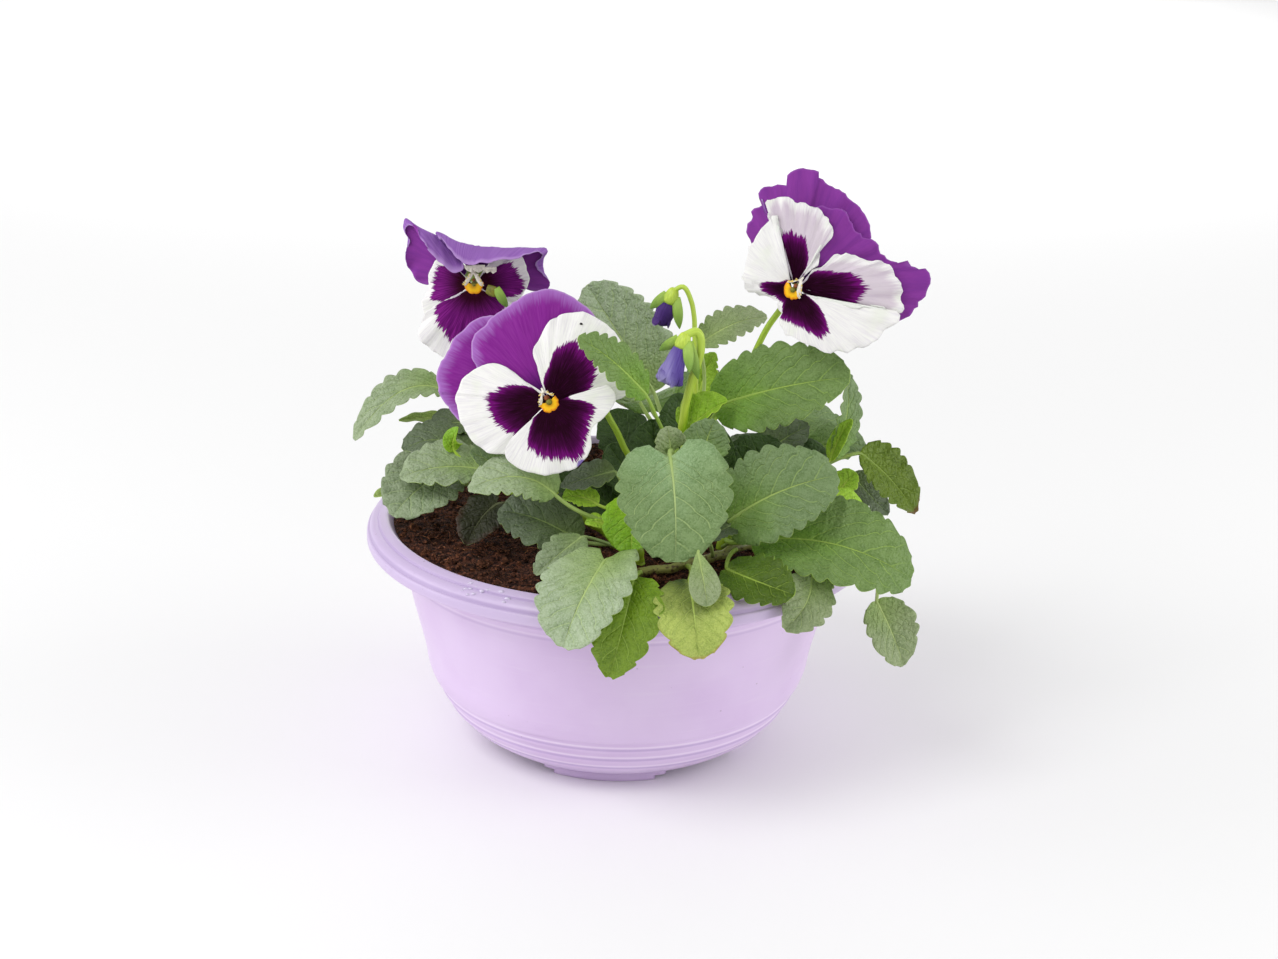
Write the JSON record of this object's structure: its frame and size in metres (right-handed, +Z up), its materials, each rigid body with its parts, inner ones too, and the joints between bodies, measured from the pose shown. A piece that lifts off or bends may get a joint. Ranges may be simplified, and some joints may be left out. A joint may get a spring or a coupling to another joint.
{
  "type": "potted pansy planter",
  "caption": "Flowering pansy with leaves, stems and buds, rooted in soil in a round bowl planter with an overhanging rim and foot pads.",
  "frame": {"origin": "middle of the boss under the bowl, level with the foot pads it stands on", "axes": "+Z up along the bowl's axis; -Y towards the side that the open flowers face; +X to the right of that side"},
  "size_m": [0.2584, 0.2453, 0.2672],
  "materials": {
    "bowl_plastic": "satin",
    "potting_soil": "matte",
    "leaf": "matte",
    "young_leaf": "matte",
    "stem": "matte",
    "violet_petal": "matte",
    "white_petal": "matte",
    "bud_petal": "matte"
  },
  "bodies": {
    "root": {"bowl": "bowl_plastic", "potting_soil": "potting_soil", "stem_left": "stem", "stem_front": "stem", "stem_centre": "stem", "stem_right": "stem", "stem_lying": "stem", "shoot_rear_left": "leaf", "shoot_rear_middle": "leaf", "shoot_rear_right": "leaf", "leaf_far_left": "leaf", "leaf_left_behind": "leaf", "leaf_left_round": "leaf", "leaf_left_drooping": "leaf", "leaf_on_soil": "leaf", "leaf_left_pointed": "leaf", "leaf_left_crinkled": "leaf", "leaf_left_small": "leaf", "leaf_front_left": "leaf", "leaf_front_hanging": "leaf", "leaf_bright": "young_leaf", "leaf_front_heart": "leaf", "leaf_behind_heart": "young_leaf", "leaf_right_high": "leaf", "leaf_beside_buds": "leaf", "leaf_tall_back": "leaf", "leaf_over_petal": "white_petal", "leaf_right_middle": "leaf", "leaf_right_low": "leaf", "leaf_right_hanging": "leaf", "leaf_far_right": "young_leaf", "leaf_right_behind": "leaf", "leaf_right_edge_on": "leaf", "leaf_right_dark": "leaf", "leaf_front_small": "leaf", "leaf_front_yellow": "young_leaf", "leaf_front_right": "leaf", "leaf_right_grey": "leaf", "flower_front_stalk": "stem", "flower_front_petal_top_right": "violet_petal", "flower_front_petal_top_left": "violet_petal", "flower_front_petal_left": "white_petal", "flower_front_petal_right": "white_petal", "flower_front_petal_bottom": "white_petal", "flower_left_stalk": "stem", "flower_left_petal_top_left": "violet_petal", "flower_left_petal_top_right": "violet_petal", "flower_left_petal_left": "white_petal", "flower_left_petal_right": "white_petal", "flower_left_petal_bottom": "white_petal", "flower_right_stalk": "stem", "flower_right_petal_top_left": "violet_petal", "flower_right_petal_top_right": "violet_petal", "flower_right_petal_left": "white_petal", "flower_right_petal_right": "white_petal", "flower_right_petal_bottom": "white_petal", "bud_upper_stalk": "stem", "bud_upper_corolla": "bud_petal", "bud_lower_stalk": "stem", "bud_lower_corolla": "bud_petal"}
  },
  "joints": []
}
